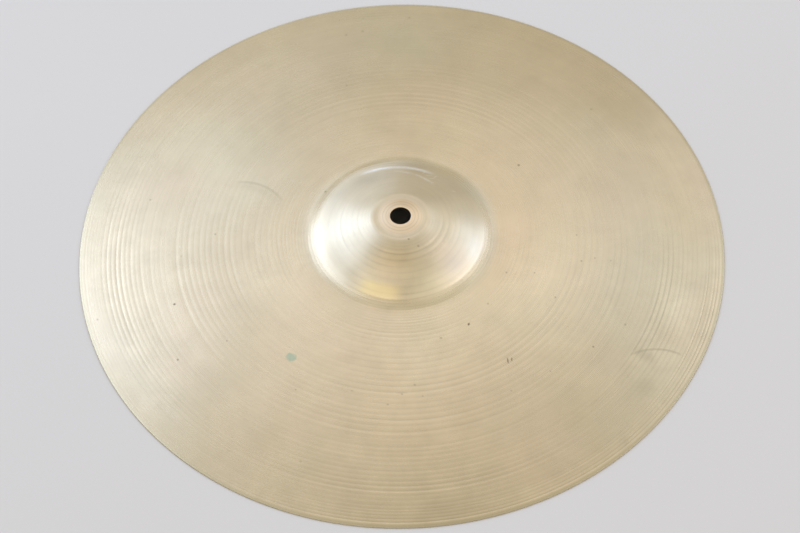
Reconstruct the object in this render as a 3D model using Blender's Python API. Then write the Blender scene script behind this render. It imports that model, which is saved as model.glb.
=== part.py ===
"""A 16 inch crash cymbal: one disc of bell bronze, cast, rolled, pressed, hammered and lathed.

The disc is a single turned body. From the middle outwards it has a round hole for the stand's rod,
a flat seat for the felts, a domed bell, a gently falling bow and a thin rim. The wall tapers from the
bell to the rim. It lies bell up, on its rim, with the origin at the centre of the ring it rests on.

Metres, +Z up. Turning axis: Z.
"""

import math

import bmesh
import bpy

# Driving dimensions
RIM_RADIUS = 0.2032  # 16 inch diameter
OVERALL_HEIGHT = 0.0369
HOLE_RADIUS = 0.0065  # clears an 8 mm rod in its plastic sleeve
SEAT_RADIUS = 0.0102  # flat ring that the felts press on
CROWN_RADIUS = 0.0200  # end of the rounding next to the seat
SHOULDER_RADIUS = 0.0360  # end of the bell's rounder upper half
FLANK_RADIUS = 0.0520  # end of the bell's straighter lower half
FOOT_RADIUS = 0.0615  # end of the hollow fillet that runs the bell into the bow

SEAT_WALL = 0.0012
FOOT_WALL = 0.0010
RIM_WALL = 0.0008

# The upper skin is a chain of tangent arcs. Each entry is an arc's outer end: its radius, how far
# the skin tilts down there in degrees, and the number of facets along the arc.
ARCS = (
    (SEAT_RADIUS, 0.0, 1),
    (CROWN_RADIUS, 17.5, 4),
    (SHOULDER_RADIUS, 24.2, 2),
    (FLANK_RADIUS, 28.2, 2),
    (FOOT_RADIUS, 3.5, 5),
    (RIM_RADIUS, 9.9, 8),
)

REST_WIDTH = 0.0010  # the rim is lapped flat underneath
RIM_EASING = 0.00015  # tiny bevel on the rim's two edges

# Facets
SEGMENTS = 96
SLOPE_STEP = 1e-6

BRONZE_COLOUR = (0.66, 0.53, 0.33, 1.0)
BRONZE_ROUGHNESS = 0.38
SMOOTH_BELOW = math.radians(35)


def clear_scene():
    for obj in list(bpy.data.objects):
        bpy.data.objects.remove(obj)


def chain_drop(radius):
    """How far the chain of arcs has fallen at this radius, before it is fitted to the height."""
    drop = 0.0
    for (start, start_tilt, _), (end, end_tilt, _) in zip(ARCS, ARCS[1:]):
        if radius <= start:
            break
        sine_start, sine_end = math.sin(math.radians(start_tilt)), math.sin(math.radians(end_tilt))
        bend = (sine_end - sine_start) / (end - start)
        sine_here = sine_start + bend * (min(radius, end) - start)
        drop += (math.sqrt(1 - sine_start**2) - math.sqrt(1 - sine_here**2)) / bend
    return drop


def outer_height(radius):
    """Height of the upper skin above the plane that the rim rests on."""
    fall = OVERALL_HEIGHT - RIM_WALL
    return OVERALL_HEIGHT - fall * chain_drop(radius) / chain_drop(RIM_RADIUS)


def wall(radius):
    """Thickness of the disc, measured square to its skin."""
    if radius < FOOT_RADIUS:
        share = (radius - HOLE_RADIUS) / (FOOT_RADIUS - HOLE_RADIUS)
        return SEAT_WALL + (FOOT_WALL - SEAT_WALL) * share
    share = (radius - FOOT_RADIUS) / (RIM_RADIUS - FOOT_RADIUS)
    return FOOT_WALL + (RIM_WALL - FOOT_WALL) * share


def inner_point(radius):
    """The point of the lower skin that lies square below the upper skin at this radius."""
    if radius <= SEAT_RADIUS:
        return radius, outer_height(radius) - wall(radius)
    slope = (outer_height(radius + SLOPE_STEP) - outer_height(radius - SLOPE_STEP)) / (2 * SLOPE_STEP)
    length = math.hypot(slope, 1)
    thickness = wall(radius)
    return radius + thickness * slope / length, outer_height(radius) - thickness / length


def stations():
    """Radii of the profile's points between the seat's edge and the rim."""
    radii = []
    for (start, _, _), (end, _, facets) in zip(ARCS, ARCS[1:]):
        radii += [start + (end - start) * i / facets for i in range(facets)]
    return radii[1:]


def profile():
    """Closed outline of the wall in the XZ plane: out along the upper skin, back along the lower."""
    seat_top = outer_height(HOLE_RADIUS)
    seat_under = seat_top - SEAT_WALL
    radii = stations()
    upper = [(HOLE_RADIUS, seat_top), (SEAT_RADIUS, seat_top)]
    upper += [(r, outer_height(r)) for r in radii]
    rim = [
        (RIM_RADIUS - RIM_EASING, RIM_WALL),
        (RIM_RADIUS, RIM_WALL - RIM_EASING),
        (RIM_RADIUS, RIM_EASING),
        (RIM_RADIUS - RIM_EASING, 0.0),
        (RIM_RADIUS - RIM_EASING - REST_WIDTH, 0.0),
    ]
    lower = [inner_point(r) for r in reversed(radii)]
    lower += [(SEAT_RADIUS, seat_under), (HOLE_RADIUS, seat_under)]
    return upper + rim + lower


def bronze():
    material = bpy.data.materials.new("bell_bronze")
    material.use_nodes = True
    shader = material.node_tree.nodes["Principled BSDF"]
    shader.inputs["Base Color"].default_value = BRONZE_COLOUR
    shader.inputs["Metallic"].default_value = 1.0
    shader.inputs["Roughness"].default_value = BRONZE_ROUGHNESS
    return material


def turned_body(name, outline, material):
    """A closed ring of wall made by spinning the outline once about Z."""
    body = bmesh.new()
    points = [body.verts.new((x, 0.0, z)) for x, z in outline]
    edges = [body.edges.new((a, b)) for a, b in zip(points, points[1:] + points[:1])]
    bmesh.ops.spin(
        body,
        geom=points + edges,
        cent=(0, 0, 0),
        axis=(0, 0, 1),
        angle=2 * math.pi,
        steps=SEGMENTS,
        use_merge=True,
    )
    bmesh.ops.recalc_face_normals(body, faces=body.faces)
    mesh = bpy.data.meshes.new(name)
    body.to_mesh(mesh)
    body.free()
    mesh.shade_smooth()
    mesh.set_sharp_from_angle(angle=SMOOTH_BELOW)
    mesh.materials.append(material)
    obj = bpy.data.objects.new(name, mesh)
    bpy.context.scene.collection.objects.link(obj)
    return obj


clear_scene()
turned_body("cymbal", profile(), bronze())
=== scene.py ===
"""Looks of the crash cymbal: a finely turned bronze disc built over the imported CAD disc.

The CAD node gives every size. This script reads its profile, fairs it, cuts the lathe's grooves and the
hammer's dimples into it as real relief, eases the edges, and gives it a procedural bronze with concentric
tool marks, patina, stains and scratches. Metres, +Z up, as in the frame.
"""

import math

import bpy
import numpy as np
from mathutils import Matrix, Vector

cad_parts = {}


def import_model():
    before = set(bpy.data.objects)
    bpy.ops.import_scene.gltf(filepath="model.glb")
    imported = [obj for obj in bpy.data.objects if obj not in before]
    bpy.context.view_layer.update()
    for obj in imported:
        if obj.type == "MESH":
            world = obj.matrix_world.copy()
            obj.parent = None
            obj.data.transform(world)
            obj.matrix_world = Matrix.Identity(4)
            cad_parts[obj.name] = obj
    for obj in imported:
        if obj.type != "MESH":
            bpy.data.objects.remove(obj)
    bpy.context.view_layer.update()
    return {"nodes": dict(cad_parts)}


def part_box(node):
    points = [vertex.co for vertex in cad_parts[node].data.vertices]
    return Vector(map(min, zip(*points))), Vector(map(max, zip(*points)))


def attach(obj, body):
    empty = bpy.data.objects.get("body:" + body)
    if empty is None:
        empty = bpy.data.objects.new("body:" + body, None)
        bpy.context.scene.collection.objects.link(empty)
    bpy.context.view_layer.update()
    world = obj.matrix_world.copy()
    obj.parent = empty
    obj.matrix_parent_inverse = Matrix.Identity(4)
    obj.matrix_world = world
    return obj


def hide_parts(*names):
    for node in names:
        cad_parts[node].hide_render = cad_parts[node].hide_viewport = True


MM = 0.001

# Sampling of the turned mesh
SEGMENTS = 192
TABLE_STEP = 0.1 * MM
UPPER_SAMPLES = 5
LOWER_SAMPLES = 4

# Fairing of the CAD's facets: a short window keeps the bell's foot crisp, a long one calms the bow
FOOT_WINDOW = 3.0 * MM
BOW_WINDOW = 12.0 * MM
BOW_WINDOW_FROM = 64.0 * MM
BOW_WINDOW_FULL = 78.0 * MM

# The felts have worn the seat slightly round
SEAT_DOME = 0.60 * MM
SEAT_EDGE = 13.5 * MM
CROWN_EDGE = 19.0 * MM

# The press left the end of the bell's flank a little rounder than the CAD's arcs
FLANK_EASE = 0.28 * MM
FLANK_EASE_RADII = (30.0 * MM, 47.5 * MM, 56.5 * MM)

# The lathe cut deeper in five sectors, and there the grooves carry more tarnish and more painted shade
# and highlight: (middle, width) in degrees
SECTORS = ((188, 22), (243, 14), (271, 22), (308, 20), (341, 16))
SHALLOW, DEEPER = 0.38, 0.62
# Least and most tarnish and painted groove shade, from the weakest sector to the strongest
LEAST_TARNISH_AND_SHADE, MOST_TARNISH_AND_SHADE = 0.12, 0.85
# A groove is dark at its bottom, with tarnish and painted shade, and a little lighter than the metal on
# its crests, a painted highlight
TARNISH_AND_SHADE_PER_DEPTH = 20.0
CREST_HIGHLIGHT = 0.28

# Lathe grooves by zone, each as (outer end, pitch, depth) in millimetres, how unevenly they are spaced,
# and how strongly they show in each of the five sectors
UPPER_ZONES = (
    (13.0, 1.9, 0.030, 0.10, (1.00, 0.00, 1.00, 0.00, 1.00)),
    (24.0, 2.0, 0.020, 0.20, (1.00, 0.40, 1.00, 0.60, 0.80)),
    (38.0, 2.9, 0.048, 0.45, (0.90, 0.75, 0.85, 0.50, 0.45)),
    (54.0, 2.9, 0.048, 0.45, (0.15, 1.20, 0.80, 0.25, 0.25)),
    (72.0, 2.0, 0.028, 0.15, (1.10, 0.20, 1.15, 0.20, 1.05)),
    (80.0, 3.1, 0.026, 0.15, (1.10, 0.20, 1.15, 0.20, 1.05)),
    (104.0, 3.85, 0.024, 0.12, (0.90, 0.10, 1.60, 0.60, 0.50)),
    (125.0, 3.9, 0.056, 0.08, (0.50, 0.10, 0.65, 0.20, 0.33)),
    (141.0, 3.9, 0.056, 0.08, (0.95, 0.00, 0.80, 0.15, 0.60)),
    (162.0, 3.3, 0.026, 0.12, (0.75, 0.00, 0.70, 0.00, 0.75)),
    (172.0, 3.1, 0.045, 0.06, (1.95, 0.00, 0.75, 0.00, 2.90)),
    (190.0, 3.1, 0.045, 0.06, (3.90, 0.00, 1.20, 0.00, 1.30)),
    (201.2, 2.0, 0.036, 0.12, (0.50, 0.20, 2.60, 2.00, 4.30)),
)
LOWER_ZONES = (
    (52.0, 3.8, 0.022, 0.15, (0.5, 0.5, 0.5, 0.5, 0.5)),
    (150.0, 6.0, 0.038, 0.10, (0.6, 0.3, 0.4, 0.5, 0.6)),
    (201.2, 5.2, 0.034, 0.10, (0.4, 0.3, 0.6, 0.5, 0.6)),
)
# Where the spacing is uneven, so are the depths, from groove to groove and along each groove
DEPTH_SPREAD = 0.35
GROOVE_WAVER = 0.25

# Broad soft clouds that dull, lighten or tint the bronze: painted shade, painted highlights and painted
# reflections of a furnished room, which the plain studio doesn't have, with some tarnish and handling
# among them. Each is (radius in mm, angle in degrees, half size across the grooves, half size along them,
# tint, strength).
# Tints of the clouds, in order: a darkening of painted shade and tarnish, a painted warm reflection, a
# painted cool shade, a painted highlight, a painted cool reflection
SHADE_AND_TARNISH = (0.90, 0.89, 0.86)
WARM_REFLECTION = (1.00, 0.96, 0.88)
COOL_SHADE = (0.90, 0.93, 1.00)
PAINTED_HIGHLIGHT = (1.10, 1.11, 1.12)
COOL_REFLECTION = (1.03, 1.08, 1.15)
SHADING_AND_TARNISH_CLOUDS = (
    (115, 138, 55, 60, SHADE_AND_TARNISH, 0.7),
    (70, 120, 16, 26, SHADE_AND_TARNISH, 0.5),
    (168, 98, 40, 80, COOL_REFLECTION, 1.0),
    (178, 118, 30, 45, PAINTED_HIGHLIGHT, 0.45),
    (150, 112, 18, 34, PAINTED_HIGHLIGHT, 0.30),
    (150, 163, 16, 24, SHADE_AND_TARNISH, 0.50),
    (197, 195, 8, 26, PAINTED_HIGHLIGHT, 0.40),
    (183, 329, 12, 16, PAINTED_HIGHLIGHT, 0.50),
    (194, 60, 10, 50, SHADE_AND_TARNISH, 0.25),
    (70, 240, 12, 20, SHADE_AND_TARNISH, 0.45),
    (70, 272, 10, 14, SHADE_AND_TARNISH, 0.45),
    (70, 0, 14, 16, PAINTED_HIGHLIGHT, 0.40),
    (180, 8, 24, 50, WARM_REFLECTION, 0.8),
    (180, 38, 20, 30, SHADE_AND_TARNISH, 1.0),
    (100, 340, 40, 38, PAINTED_HIGHLIGHT, 0.8),
    (188, 212, 16, 60, COOL_REFLECTION, 0.5),
    (88, 203, 24, 28, PAINTED_HIGHLIGHT, 0.9),
    (150, 275, 60, 60, SHADE_AND_TARNISH, 0.7),
    (197, 275, 8, 60, SHADE_AND_TARNISH, 0.5),
    (178, 342, 12, 16, PAINTED_HIGHLIGHT, 0.9),
    (28, 258, 9, 14, WARM_REFLECTION, 1.2),
    (47, 298, 6, 13, PAINTED_HIGHLIGHT, 1.8),
    (48, 340, 5, 7, COOL_REFLECTION, 1.2),
    (40, 320, 8, 10, COOL_SHADE, 0.5),
    (30, 0, 9, 10, WARM_REFLECTION, 1.1),
    (42, 22, 9, 9, PAINTED_HIGHLIGHT, 1.2),
    (55, 241, 4, 13, PAINTED_HIGHLIGHT, 1.6),
    (44, 240, 9, 8, PAINTED_HIGHLIGHT, 1.9),
    (55, 298, 4, 10, PAINTED_HIGHLIGHT, 1.0),
    (53, 84, 4, 18, COOL_SHADE, 0.9),
    (57, 88, 3, 20, COOL_REFLECTION, 0.5),
    (45, 318, 9, 9, COOL_SHADE, 1.2),
    (50, 332, 4, 6, COOL_REFLECTION, 1.0),
    (37, 317, 8, 10, SHADE_AND_TARNISH, 1.0),
    (48, 270, 5, 8, SHADE_AND_TARNISH, 0.6),
    (55, 325, 3, 10, PAINTED_HIGHLIGHT, 0.8),
    (55, 45, 4, 12, COOL_REFLECTION, 0.5),
    (54, 213, 3, 12, SHADE_AND_TARNISH, 0.6),
    (49, 45, 5, 14, COOL_SHADE, 0.4),
    (40, 120, 8, 8, SHADE_AND_TARNISH, 0.7),
    (47, 74, 6, 8, SHADE_AND_TARNISH, 1.3),
    (47, 166, 7, 10, SHADE_AND_TARNISH, 0.7),
    (22, 15, 9, 6, PAINTED_HIGHLIGHT, 0.3),
    (29, 14, 7, 8, PAINTED_HIGHLIGHT, 0.5),
    (39, 330, 6, 6, PAINTED_HIGHLIGHT, 0.5),
    (11, 74, 4, 6, SHADE_AND_TARNISH, 0.7),
    (50, 285, 5, 9, PAINTED_HIGHLIGHT, 0.6),
    (57, 313, 3, 10, PAINTED_HIGHLIGHT, 0.7),
    (42, 288, 7, 8, PAINTED_HIGHLIGHT, 0.5),
    (18, 200, 5, 10, PAINTED_HIGHLIGHT, 0.8),
    (30, 210, 7, 9, SHADE_AND_TARNISH, 0.6),
    (30, 345, 6, 9, SHADE_AND_TARNISH, 0.7),
    (30, 275, 6, 9, SHADE_AND_TARNISH, 0.7),
    (34, 143, 9, 12, PAINTED_HIGHLIGHT, 0.7),
    (50, 143, 7, 12, COOL_REFLECTION, 1.0),
    (49, 211, 6, 12, SHADE_AND_TARNISH, 0.7),
    (64, 222, 9, 14, SHADE_AND_TARNISH, 0.6),
    (48, 2, 5, 8, SHADE_AND_TARNISH, 0.6),
    (59, 65, 3, 12, PAINTED_HIGHLIGHT, 1.0),
    (59, 95, 3, 16, PAINTED_HIGHLIGHT, 0.7),
    (59, 125, 3, 20, PAINTED_HIGHLIGHT, 1.1),
    (56, 260, 2.5, 13, PAINTED_HIGHLIGHT, 1.6),
    (57, 320, 2, 10, PAINTED_HIGHLIGHT, 1.4),
    (10, 352, 5, 6, PAINTED_HIGHLIGHT, 1.2),
    (18, 0, 4, 8, PAINTED_HIGHLIGHT, 0.9),
    (19, 145, 5, 8, PAINTED_HIGHLIGHT, 0.9),
    (20, 330, 4, 6, PAINTED_HIGHLIGHT, 0.8),
    (55, 30, 5, 13, COOL_REFLECTION, 1.5),
    (44, 112, 9, 14, COOL_SHADE, 0.6),
    (41, 258, 14, 20, WARM_REFLECTION, 0.7),
    (47, 100, 8, 30, COOL_REFLECTION, 0.4),
    (75, 75, 18, 40, SHADE_AND_TARNISH, 0.6),
)

# Hammer dimples, shallow and worn down by the lathe
DIMPLES = 300
DIMPLE_RADIUS = (7.0 * MM, 12.0 * MM)
DIMPLE_DEPTH = (0.008 * MM, 0.030 * MM)

EDGE_EASING = 0.22 * MM
RIM_BEVEL_WIDTH = 1.6 * MM
RIM_BEVEL_DROP = 0.10 * MM

SEED = 16


# ---------------------------------------------------------------- profile read from the CAD disc


def cad_skins(node):
    """The corners of the disc's profile, as two lists of (radius, height): upper and lower skin."""
    corners = sorted(
        {(round(v.co.x, 6), round(v.co.z, 6)) for v in node.data.vertices
         if v.co.x > 0 and abs(v.co.y) < 1e-5}
    )
    rim = corners[-1][0]
    upper, lower = [], []
    for radius, height in corners:
        if radius > rim - 0.1 * MM:
            continue
        covered = any(
            0 <= r - radius < 0.8 * MM and 0.6 * MM < z - height < 1.6 * MM for r, z in corners
        )
        (lower if covered or height < 0.01 * MM else upper).append((radius, height))
    return upper, lower


def hermite(known_x, known_y, x):
    """A smooth curve through the known points that never overshoots them."""
    step = np.diff(known_x)
    secant = np.diff(known_y) / step
    slope = np.zeros(len(known_x))
    same_way = secant[:-1] * secant[1:] > 0
    harmonic = 2 * secant[:-1] * secant[1:] / np.where(same_way, secant[:-1] + secant[1:], 1)
    slope[1:-1] = np.where(same_way, harmonic, 0)
    slope[0], slope[-1] = secant[0], secant[-1]
    i = np.clip(np.searchsorted(known_x, x) - 1, 0, len(step) - 1)
    t = (x - known_x[i]) / step[i]
    return (
        known_y[i] * (1 + 2 * t) * (1 - t) ** 2
        + known_y[i + 1] * t**2 * (3 - 2 * t)
        + step[i] * slope[i] * t * (1 - t) ** 2
        + step[i] * slope[i + 1] * t**2 * (t - 1)
    )


def box_smooth(values, width):
    """Two passes of a moving average, with the ends carried on along their own slope."""
    half = max(1, int(width / TABLE_STEP / 2))
    kernel = np.ones(2 * half + 1) / (2 * half + 1)
    for _ in range(2):
        before = values[0] - (values[1] - values[0]) * np.arange(half, 0, -1)
        after = values[-1] + (values[-1] - values[-2]) * np.arange(1, half + 1)
        values = np.convolve(np.concatenate([before, values, after]), kernel, "valid")
    return values


def smoothstep(low, high, x):
    t = np.clip((x - low) / (high - low), 0, 1)
    return t * t * (3 - 2 * t)


def hump(radius, start, top, end):
    """Nought at the start and the end, one at the top."""
    return smoothstep(start, top, radius) * (1 - smoothstep(top, end, radius))


class Skin:
    """A faired skin of the disc: height at any radius."""

    def __init__(self, corners):
        known = np.array(corners)
        self.radii = np.arange(known[0, 0], known[-1, 0], TABLE_STEP)
        exact = hermite(known[:, 0], known[:, 1], self.radii)
        crisp, calm = box_smooth(exact, FOOT_WINDOW), box_smooth(exact, BOW_WINDOW)
        share = smoothstep(BOW_WINDOW_FROM, BOW_WINDOW_FULL, self.radii)
        self.heights = crisp * (1 - share) + calm * share

    def height(self, radius):
        worn = hump(radius, self.radii[0], SEAT_EDGE, CROWN_EDGE)
        eased = hump(radius, *FLANK_EASE_RADII)
        height = np.interp(radius, self.radii, self.heights)
        return float(height - SEAT_DOME * worn - FLANK_EASE * eased)


# ---------------------------------------------------------------- relief


def grooves(zones, start, samples, generator):
    """Rings across every groove the lathe cut.

    Each row is (radius, relief, waver, turns, phase, groove tarnish and painted shade, and the strength
    in each sector).
    """
    rows, crest = [], start
    stop = zones[-1][0] * MM
    while crest < stop:
        _, pitch, depth, spread, strengths = next(zone for zone in zones if crest < zone[0] * MM)
        width = pitch * MM * (1 + spread * generator.uniform(-1, 1))
        cut = depth * MM * (1 + (DEPTH_SPREAD + spread) * generator.uniform(-1, 1))
        turns, phase = generator.integers(1, 4), generator.uniform(0, 2 * math.pi)
        waver = GROOVE_WAVER + spread / 2
        for k in range(samples):
            t = (k + 0.5) / samples
            tarnish_and_shade = (CREST_HIGHLIGHT - (1 - abs(2 * t - 1)) ** 3) * cut / MM * TARNISH_AND_SHADE_PER_DEPTH
            relief = -cut * 4 * t * (1 - t)
            rows.append((crest + width * t, relief, waver, turns, phase, tarnish_and_shade, *strengths))
        crest += width
    return [row for row in rows if row[0] < stop]


def by_sector(turn, strengths):
    """How strongly each ring's groove shows at each angle."""
    share = 0
    for (middle, width), strength in zip(SECTORS, strengths):
        away = np.angle(np.exp(1j * (turn - math.radians(middle))))
        share = share + strength * np.exp(-((away / math.radians(width)) ** 2))
    return share


def painted_shading_and_tarnish_tint(x, y):
    """Tint of the clouds at each point, in millimetres, made of painted shade, highlights and reflections
    with some tarnish: close to (1, 1, 1) everywhere.
    """
    tint = np.ones((*x.shape, 3))
    for radius, angle, across, along, colour, strength in SHADING_AND_TARNISH_CLOUDS:
        turn = math.radians(angle)
        away_x, away_y = x - radius * math.cos(turn), y - radius * math.sin(turn)
        out = (away_x * math.cos(turn) + away_y * math.sin(turn)) / across
        side = (away_y * math.cos(turn) - away_x * math.sin(turn)) / along
        share = strength * np.exp(-(out**2 + side**2))
        tint *= 1 + share[..., None] * (np.array(colour) - 1)
    return tint


def hammering(x, y, inner, outer, generator):
    """Depth of the hammer's shallow dimples at each point."""
    depth = np.zeros_like(x)
    for _ in range(DIMPLES):
        radius = math.sqrt(generator.uniform(inner**2, outer**2))
        angle = generator.uniform(0, 2 * math.pi)
        size = generator.uniform(*DIMPLE_RADIUS)
        deep = generator.uniform(*DIMPLE_DEPTH)
        away = (x - radius * math.cos(angle)) ** 2 + (y - radius * math.sin(angle)) ** 2
        depth -= deep * np.exp(-away / (2 * (size / 2) ** 2))
    return depth


# ---------------------------------------------------------------- the turned disc


def still(radius, height):
    """A ring with no groove in it."""
    return (radius, height, 0.0, 0.0, 0, 0.0, 0.0, *(0.0 for _ in SECTORS))


def disc_rings(upper, lower, hole, rim, generator):
    """Rings round the whole wall: out along the upper skin, over the rim and back underneath."""
    seat_top, seat_under = upper.heights[0], lower.heights[0]
    rim_top = upper.height(rim) - RIM_BEVEL_DROP
    rings = [
        still(hole, seat_top - EDGE_EASING),
        still(hole + 0.3 * EDGE_EASING, seat_top - 0.3 * EDGE_EASING),
        still(hole + EDGE_EASING, seat_top),
    ]
    for radius, *cut in grooves(UPPER_ZONES, hole + 0.5 * MM, UPPER_SAMPLES, generator):
        bevel = RIM_BEVEL_DROP * float(smoothstep(rim - 2 * RIM_BEVEL_WIDTH, rim, radius)) ** 2
        rings.append((radius, upper.height(radius) - bevel, *cut))
    for back in (0.8, 0.45, 0.2):
        radius = rim - back * RIM_BEVEL_WIDTH
        bevel = RIM_BEVEL_DROP * float(smoothstep(rim - 2 * RIM_BEVEL_WIDTH, rim, radius)) ** 2
        rings.append(still(radius, upper.height(radius) - bevel))
    for share in (0.0, 0.3, 0.7, 1.0):
        swing = share * math.pi
        middle, tall = rim_top / 2, rim_top / 2
        rings.append(
            still(rim - EDGE_EASING * (1 - math.sin(swing)), middle + tall * math.cos(swing))
        )
    rings.append(still(rim - 0.7 * MM, 0.0))
    rings.append(still(rim - 1.15 * MM, 0.0))
    under = grooves(LOWER_ZONES, hole + 5.6 * MM, LOWER_SAMPLES, generator)
    for radius, relief, *cut in reversed(under):
        rings.append((radius, lower.height(radius), -relief, *cut))
    rings += [still(hole + out * MM, lower.height(hole + out * MM)) for out in (4.4, 3.0, 1.6)]
    rings += [
        still(hole + EDGE_EASING, seat_under),
        still(hole + 0.3 * EDGE_EASING, seat_under + 0.3 * EDGE_EASING),
        still(hole, seat_under + EDGE_EASING),
    ]
    return np.array(rings)


def turned_mesh(name, rings, generator):
    """One closed mesh: each ring swept round Z, with the grooves and the dimples as heights."""
    turn = np.linspace(0, 2 * math.pi, SEGMENTS, endpoint=False)
    columns = [column[:, None] for column in rings.T]
    radius, height, relief, waver, turns, phase, tarnish_and_shade = columns[:7]
    x, y = radius * np.cos(turn), radius * np.sin(turn)
    uneven = 1 + waver * np.cos(turns * turn + phase)
    strength = by_sector(turn, columns[7:])
    deep = SHALLOW + DEEPER * strength
    z = height + relief * deep * uneven
    # The grooves' tarnish and painted shade grow in the strong sectors
    tarnish_and_shade = tarnish_and_shade * (LEAST_TARNISH_AND_SHADE + MOST_TARNISH_AND_SHADE * strength) * uneven
    rim = float(radius.max())
    worked = smoothstep(20 * MM, 34 * MM, radius) * (1 - smoothstep(rim - 12 * MM, rim - 3 * MM, radius))
    z = z + worked * hammering(x, y, 30 * MM, rim - 10 * MM, generator)

    count = len(rings)
    ring, step = np.meshgrid(np.arange(count), np.arange(SEGMENTS), indexing="ij")
    next_ring, next_step = (ring + 1) % count, (step + 1) % SEGMENTS
    quads = np.stack(
        [
            ring * SEGMENTS + step,
            next_ring * SEGMENTS + step,
            next_ring * SEGMENTS + next_step,
            ring * SEGMENTS + next_step,
        ],
        axis=-1,
    ).reshape(-1, 4)
    mesh = bpy.data.meshes.new(name)
    points = np.stack([x, y, z], axis=-1).reshape(-1, 3)
    mesh.from_pydata(points.tolist(), [], quads.tolist())
    mesh.validate()
    lathed = SHALLOW + DEEPER * np.minimum(strength, 1)
    for label, values in (("groove_shade_and_tarnish", tarnish_and_shade), ("lathe_depth", lathed)):
        mesh.attributes.new(label, "FLOAT", "POINT").data.foreach_set("value", values.ravel())
    # Painted shade, highlights and reflections, with some tarnish, stored with the mesh
    tint = painted_shading_and_tarnish_tint(x / MM, y / MM)
    mesh.attributes.new("painted_shading_and_tarnish_tint", "FLOAT_VECTOR", "POINT").data.foreach_set("vector", tint.ravel())
    mesh.shade_smooth()
    return mesh


# ---------------------------------------------------------------- shader helper


class Graph:
    """A short way to write shader node trees."""

    def __init__(self, name):
        self.material = bpy.data.materials.new(name)
        self.material.use_nodes = True
        self.tree = self.material.node_tree
        self.tree.nodes.clear()

    def feed(self, socket, value):
        if hasattr(value, "is_output"):
            self.tree.links.new(value, socket)
        elif isinstance(value, tuple) and len(value) == 3 and socket.type == "RGBA":
            socket.default_value = (*value, 1.0)
        else:
            socket.default_value = value

    def node(self, kind, **inputs):
        made = self.tree.nodes.new("ShaderNode" + kind)
        for key, value in inputs.items():
            self.feed(made.inputs[key.replace("_", " ")], value)
        return made

    def math(self, operation, *values, clamp=False):
        made = self.tree.nodes.new("ShaderNodeMath")
        made.operation, made.use_clamp = operation, clamp
        for socket, value in zip(made.inputs, values):
            self.feed(socket, value)
        return made.outputs[0]

    def add(self, a, b):
        return self.math("ADD", a, b)

    def times(self, a, b):
        return self.math("MULTIPLY", a, b)

    def remap(self, value, low, high, to_low=0.0, to_high=1.0):
        """Smooth step of value from low..high to to_low..to_high."""
        made = self.tree.nodes.new("ShaderNodeMapRange")
        made.interpolation_type = "SMOOTHSTEP"
        for socket, item in zip(made.inputs, (value, low, high, to_low, to_high)):
            self.feed(socket, item)
        return made.outputs[0]

    def vector(self, x=0.0, y=0.0, z=0.0):
        made = self.tree.nodes.new("ShaderNodeCombineXYZ")
        for socket, value in zip(made.inputs, (x, y, z)):
            self.feed(socket, value)
        return made.outputs[0]

    def noise(self, vector, scale, detail=2.0, roughness=0.5, distortion=0.0):
        made = self.node("TexNoise", Vector=vector, Scale=scale, Detail=detail,
                         Roughness=roughness, Distortion=distortion)
        return made.outputs["Fac"]

    def attribute(self, name, output):
        made = self.tree.nodes.new("ShaderNodeAttribute")
        made.attribute_name = name
        return made.outputs[output]

    def scale(self, colour, tone):
        """The colour, made lighter or darker by a tone near one."""
        made = self.tree.nodes.new("ShaderNodeVectorMath")
        made.operation = "SCALE"
        self.feed(made.inputs[0], colour)
        self.feed(made.inputs["Scale"], tone)
        return made.outputs[0]

    def add_vector(self, vector, shift):
        made = self.tree.nodes.new("ShaderNodeVectorMath")
        self.feed(made.inputs[0], vector)
        made.inputs[1].default_value = shift
        return made.outputs[0]

    def mix(self, share, a, b, blend="MIX"):
        made = self.tree.nodes.new("ShaderNodeMix")
        made.data_type, made.blend_type = "RGBA", blend
        self.feed(made.inputs[0], share)
        self.feed(made.inputs[6], a)
        self.feed(made.inputs[7], b)
        return made.outputs[2]


# ---------------------------------------------------------------- bronze


BRONZE = (0.745, 0.620, 0.418)
BELL_BRONZE = (0.725, 0.620, 0.435)
BRONZE_GREEN = (0.700, 0.630, 0.425)
BRONZE_ROSE = (0.775, 0.610, 0.440)
SEAT_BRONZE = (0.850, 0.670, 0.450)
# A painted warm highlight
GOLDEN_HIGHLIGHT_BRONZE = (0.985, 0.820, 0.420)
# Near-white of the painted crescent highlight on the bell's foot, and of the bright scratches
SHEEN_AND_SCRATCH_WHITE = (0.980, 0.960, 0.900)
# Painted shade for the rim's edge
RIM_EDGE_SHADE = (0.600, 0.520, 0.330)
TARNISH = (0.450, 0.380, 0.250)
GRIME = (0.240, 0.180, 0.110)
VERDIGRIS = (0.400, 0.510, 0.370)

# How strongly the grooves' tarnish, painted shade and painted crest highlight show in the colour
GROOVE_TARNISH_AND_SHADE = 0.12

# Dark rings on and round the seat, each as (radius in mm, half width in mm, strength)
SEAT_RINGS = (
    (9.1, 0.6, 0.28),
    (11.1, 0.6, 0.28),
    (13.0, 0.5, 0.15),
    (15.7, 2.2, 0.16),
)

BOW_ROUGHNESS = 0.27
BELL_ROUGHNESS = 0.36
BOW_GRAIN = 0.62
BELL_GRAIN = 0.20

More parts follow.
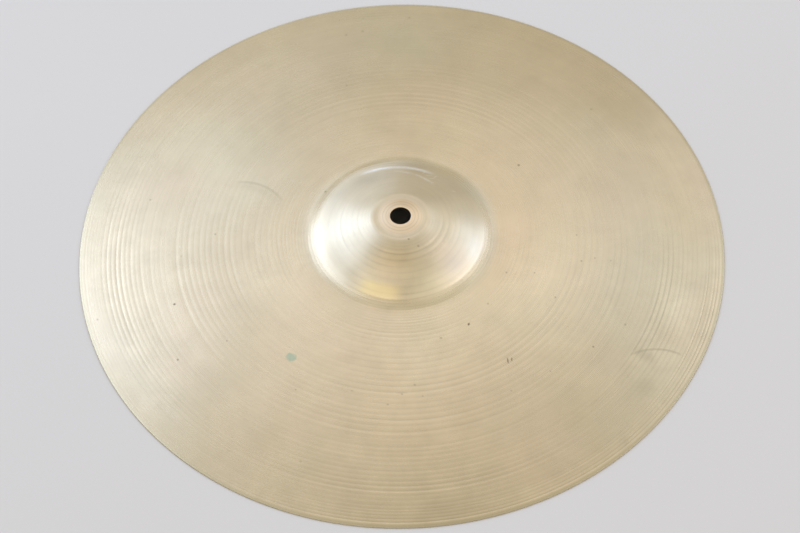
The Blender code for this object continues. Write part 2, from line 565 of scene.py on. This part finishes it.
# Small dark pits, each as (radius in mm, angle in degrees, size in mm, strength)
PITS = (
    (148, 197, 1.5, 0.9),
    (80, 300, 1.4, 0.6),
    (162, 211, 1.4, 0.7),
    (93, 35, 1.5, 0.7),
    (143, 324, 1.4, 0.6),
    (82, 286, 1.5, 0.4),
    (114, 349, 1.3, 0.4),
    (110, 359, 1.2, 0.35),
    (122, 351, 1.1, 0.35),
    (132, 351, 1.1, 0.3),
    (88, 339, 1.2, 0.35),
    (58, 144, 1.4, 0.5),
    (72, 334, 1.2, 0.4),
    (18, 285, 1.2, 0.5),
    (111, 273, 1.2, 0.4),
    (124, 265, 1.2, 0.4),
    (119, 275, 1.1, 0.3),
    (117, 269, 1.1, 0.35),
    (129, 239, 1.2, 0.3),
    (132, 299, 1.2, 0.3),
    (131, 214, 1.2, 0.35),
    (135, 311, 1.1, 0.3),
    (24, 296, 1.4, 0.35),
)

# Tarnished smears, each as (radius in mm, angle in degrees, length across the grooves in mm,
# length along the grooves in mm, strength)
SMEARS = (
    (172, 329, 12.0, 6.0, 0.20),
    (183, 323, 9.0, 13.0, 0.22),
    (116, 269, 1.2, 6.0, 0.35),
)

# Curved runs of tarnish, each as (x, y, radius, middle in degrees, half length in degrees,
# half width in mm, strength)
RUNS = (
    (156, -118, 34, 93, 32, 1.3, 0.44),
    (-104, 14.5, 33, 58, 36, 1.6, 0.36),
    (-104, 14.5, 30, 58, 40, 6.0, 0.14),
)

# Short deep nicks, each as (radius in mm, angle in degrees, lean in degrees, length in mm)
NICKS = (
    (113.6, 303.6, 62, 3.6),
    (114.4, 304.8, 50, 2.4),
    (80, 300, 40, 2.0),
)

# Short bright scratches, each as (radius in mm, angle in degrees, lean in degrees, length in mm)
SCRATCHES = (
    (46, 70, 70, 4.2),
    (44.5, 65, 30, 4.0),
    (45.5, 60, 85, 3.6),
    (42.0, 61, 40, 3.0),
    (38, 57, 60, 2.2),
    (43, 38, 50, 2.4),
    (182, 190, 20, 1.6),
    (139, 180, 10, 1.6),
)


class Turned:
    """Where a point lies on the disc, as a place and as radius and angle about the turning axis."""

    def __init__(self, g):
        self.g = g
        coordinates = g.node("TexCoord")
        self.place = coordinates.outputs["Object"]
        facing = g.node("SeparateXYZ", Vector=coordinates.outputs["Normal"]).outputs[2]
        self.top = g.remap(facing, -0.2, 0.2)
        split = g.node("SeparateXYZ", Vector=self.place)
        self.x, self.y = g.times(split.outputs[0], 1000.0), g.times(split.outputs[1], 1000.0)
        self.radius = g.math("SQRT", g.add(g.times(self.x, self.x), g.times(self.y, self.y)))
        self.cosine = g.math("DIVIDE", self.x, self.radius)
        self.sine = g.math("DIVIDE", self.y, self.radius)

    def rings(self, per_mm, waver, seed):
        """Coordinates that change fast across the grooves and slowly along them."""
        g = self.g
        return g.vector(g.times(self.radius, per_mm), g.add(g.times(self.cosine, waver), seed),
                        g.times(self.sine, waver))

    def ring(self, start, end, soft):
        """One between two radii, falling to nought over the soft width outside them."""
        inside = self.g.remap(self.radius, start - soft, start)
        return self.g.times(inside, self.g.remap(self.radius, end, end + soft, 1.0, 0.0))

    def sector(self, angle, half_width, soft):
        """One within half_width degrees of the angle, falling to nought over the soft width."""
        g, turn = self.g, math.radians(angle)
        facing = g.add(g.times(self.cosine, math.cos(turn)), g.times(self.sine, math.sin(turn)))
        return g.remap(facing, math.cos(math.radians(half_width + soft)),
                       math.cos(math.radians(half_width)))

    def patch(self, radius, angle, across, along, edge, wobble, lean=0.0):
        """A soft oval patch. It lies with its sides along and across the grooves, then leans over."""
        g, turn = self.g, math.radians(angle)
        away_x = g.add(self.x, -radius * math.cos(turn))
        away_y = g.add(self.y, -radius * math.sin(turn))
        turn += math.radians(lean)
        out = g.add(g.times(away_x, math.cos(turn) / across), g.times(away_y, math.sin(turn) / across))
        side = g.add(g.times(away_x, -math.sin(turn) / along), g.times(away_y, math.cos(turn) / along))
        away = g.math("SQRT", g.add(g.times(out, out), g.times(side, side)))
        return g.remap(g.add(away, wobble), 1.0 - edge, 1.0 + edge, 1.0, 0.0)

    def arc(self, x, y, radius, middle, half_angle, half_width):
        """A soft curved line: part of a circle about any point, tapering to its two ends."""
        g, turn = self.g, math.radians(middle)
        away_x, away_y = g.add(self.x, -x), g.add(self.y, -y)
        away = g.math("SQRT", g.add(g.times(away_x, away_x), g.times(away_y, away_y)))
        facing = g.add(g.times(away_x, math.cos(turn)), g.times(away_y, math.sin(turn)))
        facing = g.math("DIVIDE", facing, away)
        off = g.math("ABSOLUTE", g.math("SUBTRACT", away, radius))
        line = g.remap(off, 0.0, half_width, 1.0, 0.0)
        end, full = (math.cos(math.radians(half_angle * share)) for share in (1.0, 0.5))
        return g.times(line, g.remap(facing, end, full))


def patina(g, disc, colour):
    """Broad drift between greenish, rosy and plain bronze."""
    wide = g.noise(disc.place, 9.0, detail=3.0, roughness=0.55)
    warm = g.noise(g.add_vector(disc.place, (3.7, 1.9, 0.0)), 13.0, detail=3.0, roughness=0.6)
    colour = g.mix(g.remap(wide, 0.50, 0.66, 0.0, 0.32), colour, BRONZE_GREEN)
    return g.mix(g.remap(warm, 0.52, 0.68, 0.0, 0.20), colour, BRONZE_ROSE)


def tarnish_and_groove_shade(g, disc, lines, bands):
    """How much of the light the tarnish lets through, with the painted shade and highlight of the grooves
    added: close to one everywhere.
    """
    cloud = g.noise(disc.place, 34.0, detail=4.0, roughness=0.6, distortion=0.4)
    drift = g.noise(disc.place, 14.0, detail=2.0, roughness=0.5)
    tone = 1.0
    for pattern, amount in ((lines, 0.05), (bands, 0.07), (cloud, 0.18), (drift, 0.12)):
        tone = g.add(tone, g.times(g.math("SUBTRACT", pattern, 0.5), amount))
    mottle = g.noise(g.add_vector(disc.place, (1.3, 4.1, 0.0)), 85.0, detail=3.0, roughness=0.6)
    mottle = g.times(g.math("SUBTRACT", mottle, 0.5), g.attribute("lathe_depth", "Fac"))
    tone = g.add(tone, g.times(mottle, 0.22))
    # Painted groove shade and crest highlight, with tarnish in the groove bottoms
    return g.add(tone, g.times(g.attribute("groove_shade_and_tarnish", "Fac"), GROOVE_TARNISH_AND_SHADE))


def wear_and_painted_light(g, disc, colour):
    """The seat under the felts, a painted golden highlight on the near foot of the bell, and painted
    shade along the rim's edge.
    """
    seat = disc.ring(0.0, 12.4, 2.4)
    colour = g.mix(g.times(seat, 0.75), colour, SEAT_BRONZE)
    for radius, half_width, strength in SEAT_RINGS:
        colour = g.mix(g.times(disc.ring(radius, radius, half_width), strength), colour, TARNISH)
    # Painted highlight: a warm golden reflection on the near foot of the bell
    golden_highlight = g.times(disc.ring(46.5, 50.5, 4.0), disc.sector(253, 5, 14))
    colour = g.mix(g.times(golden_highlight, 0.55), colour, GOLDEN_HIGHLIGHT_BRONZE)
    # Painted shade along the rim's edge, where it turns down
    rim = disc.ring(201.9, 230.0, 1.0)
    return g.mix(g.times(rim, 0.55), colour, RIM_EDGE_SHADE)


def foot_crescent_highlight(g, disc):
    """A painted highlight: the crescent of reflected light along the far side of the bell's foot, where
    it is worn smooth, broken up by scratches.
    """
    broken = g.noise(disc.rings(0.5, 9.0, 2.3), 1.0, detail=3.0, roughness=0.7)
    streak = disc.arc(-4.0, 0.2, 49.2, 86, 31, 2.8)
    split = disc.arc(-8.0, 8.0, 36.5, 60, 26, 1.9)
    return g.math("MAXIMUM", g.times(streak, g.remap(broken, 0.34, 0.50, 0.60, 1.0)),
                  g.times(split, g.remap(broken, 0.40, 0.58, 0.15, 0.60)))


def marks(g, disc, colour):
    """Pits, smears and the one spot of verdigris."""
    ragged = g.noise(disc.place, 420.0, detail=2.0)
    wobble = g.times(g.math("SUBTRACT", ragged, 0.5), 0.8)
    for radius, angle, size, strength in PITS:
        pit = disc.patch(radius, angle, size / 2, size / 2, 0.45, wobble)
        colour = g.mix(g.times(pit, strength), colour, GRIME)
    for x, y, radius, middle, half_angle, half_width, strength in RUNS:
        run = disc.arc(x, y, radius, middle, half_angle, half_width)
        colour = g.mix(g.times(run, strength), colour, TARNISH)
    for radius, angle, lean, length in NICKS:
        nick = disc.patch(radius, angle, 0.45, length / 2, 0.5, wobble, lean)
        colour = g.mix(g.times(nick, 0.8), colour, GRIME)
    for radius, angle, lean, length in SCRATCHES:
        scratch = disc.patch(radius, angle, 0.22, length / 2, 0.5, 0.0, lean)
        colour = g.mix(g.times(scratch, 0.6), colour, SHEEN_AND_SCRATCH_WHITE)
    for radius, angle, across, along, strength in SMEARS:
        smear = disc.patch(radius, angle, across / 2, along / 2, 0.9, wobble)
        colour = g.mix(g.times(smear, strength), colour, TARNISH)
    dots = g.node("TexVoronoi", Vector=disc.place, Scale=95.0)
    chance = g.math("GREATER_THAN", g.node("SeparateColor", Color=dots.outputs["Color"]).outputs[0], 0.90)
    dot = g.times(g.remap(dots.outputs["Distance"], 0.04, 0.10, 1.0, 0.0), chance)
    colour = g.mix(g.times(dot, 0.35), colour, GRIME)
    spot = disc.patch(112, 232, 2.6, 2.9, 0.35, g.times(wobble, 1.8))
    return g.mix(g.times(spot, 0.75), colour, VERDIGRIS)


def bronze_material():
    g = Graph("lathed_bell_bronze")
    disc = Turned(g)
    fine = g.noise(disc.rings(2.3, 1.2, 3.1), 1.0, detail=3.0, roughness=0.65)
    lines = g.noise(disc.rings(0.9, 2.4, 5.3), 1.0, detail=2.0, roughness=0.6)
    bands = g.noise(disc.rings(0.24, 1.4, 7.7), 1.0, detail=2.0, roughness=0.55)
    # Painted highlight: the crescent of reflected light on the far side of the bell's foot
    crescent_highlight = g.times(foot_crescent_highlight(g, disc), disc.top)

    bell = disc.ring(14.0, 43.0, 13.0)

    colour = patina(g, disc, g.mix(bell, BRONZE, BELL_BRONZE))
    colour = g.scale(colour, tarnish_and_groove_shade(g, disc, lines, bands))
    colour = wear_and_painted_light(g, disc, colour)
    # The clouds: painted shade, highlights and reflections, with some tarnish, on the upper side only
    colour = g.mix(disc.top, colour, g.attribute("painted_shading_and_tarnish_tint", "Vector"), "MULTIPLY")
    # The crescent highlight is painted in near-white
    colour = g.mix(g.times(crescent_highlight, 0.8), colour, SHEEN_AND_SCRATCH_WHITE)
    colour = g.mix(disc.top, colour, marks(g, disc, colour))

    dulled = g.noise(disc.place, 26.0, detail=3.0, roughness=0.55)
    roughness = g.remap(bell, 0.0, 1.0, BOW_ROUGHNESS, BELL_ROUGHNESS)
    roughness = g.add(roughness, g.times(g.math("SUBTRACT", dulled, 0.5), 0.06))
    roughness = g.add(roughness, g.times(g.math("SUBTRACT", fine, 0.5), 0.04))
    roughness = g.math("SUBTRACT", roughness, g.times(crescent_highlight, 0.08))

    height = g.times(g.add(fine, g.times(lines, 0.8)), g.attribute("lathe_depth", "Fac"))
    bump = g.node("Bump", Height=height, Strength=0.45, Distance=0.00002)
    tangent = g.node("Tangent")
    tangent.direction_type, tangent.axis = "RADIAL", "Z"
    grain = g.remap(bell, 0.0, 1.0, BOW_GRAIN, BELL_GRAIN)
    shader = g.node("BsdfPrincipled", Base_Color=colour, Metallic=1.0, Roughness=roughness,
                    Anisotropic=grain, Normal=bump.outputs[0], Tangent=tangent.outputs[0])
    output = g.node("OutputMaterial")
    g.tree.links.new(shader.outputs[0], output.inputs["Surface"])
    return g.material


# ---------------------------------------------------------------- stage


def floor_material():
    g = Graph("pale_floor")
    place = g.node("TexCoord").outputs["Object"]
    grain = g.noise(place, 3.0, detail=3.0)
    colour = g.mix(grain, (0.765, 0.740, 0.705), (0.800, 0.775, 0.745))
    shader = g.node("BsdfPrincipled", Base_Color=colour, Roughness=0.65)
    output = g.node("OutputMaterial")
    g.tree.links.new(shader.outputs[0], output.inputs["Surface"])
    return g.material


FLOOR_HALF = 6.0
FLOOR_GAP = 0.1 * MM


def make_floor():
    half = FLOOR_HALF
    mesh = bpy.data.meshes.new("floor")
    mesh.from_pydata(
        [(-half, -half, 0), (half, -half, 0), (half, half, 0), (-half, half, 0)], [], [(0, 1, 2, 3)]
    )
    mesh.materials.append(floor_material())
    floor = bpy.data.objects.new("floor", mesh)
    floor.location.z = -FLOOR_GAP
    bpy.context.scene.collection.objects.link(floor)


def soft_light(name, azimuth, elevation, distance, size, power, colour):
    """A square area light that faces the cymbal. Azimuth is counted anticlockwise from +X."""
    a, e = math.radians(azimuth), math.radians(elevation)
    place = distance * Vector((math.cos(a) * math.cos(e), math.sin(a) * math.cos(e), math.sin(e)))
    light = bpy.data.lights.new(name, "AREA")
    light.shape, light.size, light.energy, light.color = "SQUARE", size, power, colour
    lamp = bpy.data.objects.new(name, light)
    lamp.location = place
    lamp.rotation_euler = (-place).to_track_quat("-Z", "Y").to_euler()
    bpy.context.scene.collection.objects.link(lamp)


SKYLIGHT = (0.5, 0.65, 1.0)
PALE_SKY = (0.9, 0.85, 1.0)
ROOM = (0.62, 0.60, 0.54, 1.0)
BOX_DISTANCE = 2.6
BOX_SIZE = 1.0

# Soft boxes in an arch behind the cymbal, each as (azimuth, elevation, watts, colour). Seen in the bell's
# flank are the low ones, in the far side of the bow those at 48 degrees, in its near side the high one.
SOFT_BOXES = (
    (104, 10, 2.0, SKYLIGHT),
    (131, 12, 4.5, SKYLIGHT),
    (30, 30, 6.0, SKYLIGHT),
    (140, 30, 8.0, SKYLIGHT),
    (0, 48, 5.0, PALE_SKY),
    (50, 48, 2.0, SKYLIGHT),
    (82, 50, 1.0, PALE_SKY),
    (118, 48, 3.0, SKYLIGHT),
    (140, 48, 3.0, SKYLIGHT),
    (165, 48, 6.0, SKYLIGHT),
    (90, 68, 1.0, PALE_SKY),
    (240, 66, 2.0, PALE_SKY),
)


def make_lights():
    for azimuth, elevation, watts, colour in SOFT_BOXES:
        name = f"soft_box_{azimuth}_{elevation}"
        soft_light(name, azimuth, elevation, BOX_DISTANCE, BOX_SIZE, watts, colour)
    world = bpy.data.worlds.new("studio")
    world.use_nodes = True
    background = world.node_tree.nodes["Background"]
    background.inputs["Color"].default_value = ROOM
    background.inputs["Strength"].default_value = 1.0
    bpy.context.scene.world = world


CAMERA_ELEVATION = math.radians(54.31)
CAMERA_ROLL = -0.02756
CAMERA_DISTANCE = 1.8847
CAMERA_TARGET = Vector((-0.00117, -0.01266, 0.0004))
FOCUS_POINT = Vector((0.0, -0.05, 0.018))
LENS_MM, SENSOR_MM, F_STOP = 135.0, 36.0, 11.0


def make_camera():
    forward = Vector((0, math.cos(CAMERA_ELEVATION), -math.sin(CAMERA_ELEVATION)))
    data = bpy.data.cameras.new("camera")
    data.lens, data.sensor_width = LENS_MM, SENSOR_MM
    data.clip_end = 50.0
    camera = bpy.data.objects.new("camera", data)
    upright = forward.to_track_quat("-Z", "Y").to_matrix().to_4x4()
    place = Matrix.Translation(CAMERA_TARGET - CAMERA_DISTANCE * forward)
    camera.matrix_world = place @ upright @ Matrix.Rotation(CAMERA_ROLL, 4, "Z")
    bpy.context.scene.collection.objects.link(camera)
    focus = bpy.data.objects.new("focus", None)
    focus.location = FOCUS_POINT
    bpy.context.scene.collection.objects.link(focus)
    data.dof.use_dof, data.dof.focus_object, data.dof.aperture_fstop = True, focus, F_STOP
    bpy.context.scene.camera = camera


# ---------------------------------------------------------------- build


def build():
    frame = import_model()
    generator = np.random.default_rng(SEED)

    node = frame["nodes"]["cymbal"]
    upper_corners, lower_corners = cad_skins(node)
    hole, rim = upper_corners[0][0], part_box("cymbal")[1].x
    rings = disc_rings(Skin(upper_corners), Skin(lower_corners), hole, rim, generator)
    mesh = turned_mesh("cymbal_disc", rings, generator)
    mesh.materials.append(bronze_material())
    disc = bpy.data.objects.new("cymbal_disc", mesh)
    bpy.context.scene.collection.objects.link(disc)
    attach(disc, "root")
    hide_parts("cymbal")

    make_floor()
    make_lights()
    make_camera()
    bpy.context.scene.view_settings.view_transform = "Standard"


build()
